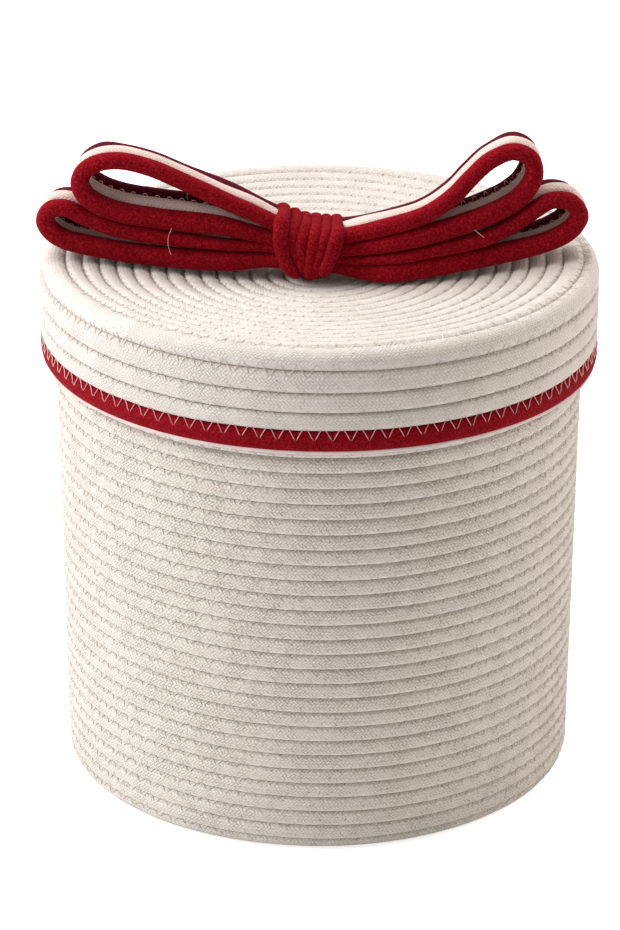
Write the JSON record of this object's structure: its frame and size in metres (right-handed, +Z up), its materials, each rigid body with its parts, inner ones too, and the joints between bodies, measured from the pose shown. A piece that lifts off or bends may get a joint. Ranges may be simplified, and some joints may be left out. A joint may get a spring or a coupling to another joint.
{
  "type": "lidded rope basket",
  "caption": "Round storage basket coiled from thick cotton rope, with a lift-off dished lid, a coloured trim course and a tied rope bow.",
  "frame": {"origin": "centre of the base, on the surface that the basket stands on", "axes": "+Z up through the lid, +X to the right along the bow, -Y towards the front"},
  "size_m": [0.267, 0.2664, 0.3134],
  "materials": {
    "natural_rope": "braided undyed cotton rope, matt, sewn turn to turn",
    "dyed_rope": "braided cotton rope dyed deep red, matt and slightly fuzzy"
  },
  "bodies": {
    "basket": {"body_coil": "natural_rope"},
    "lid": {"lid_coil": "natural_rope", "lid_trim_rope": "dyed_rope", "lid_edge_cord": "natural_rope", "bow_upper_front_rope": "dyed_rope", "bow_upper_middle_rope": "natural_rope", "bow_upper_back_rope": "dyed_rope", "bow_lower_front_rope": "dyed_rope", "bow_lower_middle_rope": "natural_rope", "bow_lower_back_rope": "dyed_rope", "knot_rope": "dyed_rope"}
  },
  "joints": [
    {"name": "lid_lift", "type": "slide", "parent": "basket", "child": "lid", "axis": [0, 0, 1], "range_m": [0, 0.25]}
  ]
}
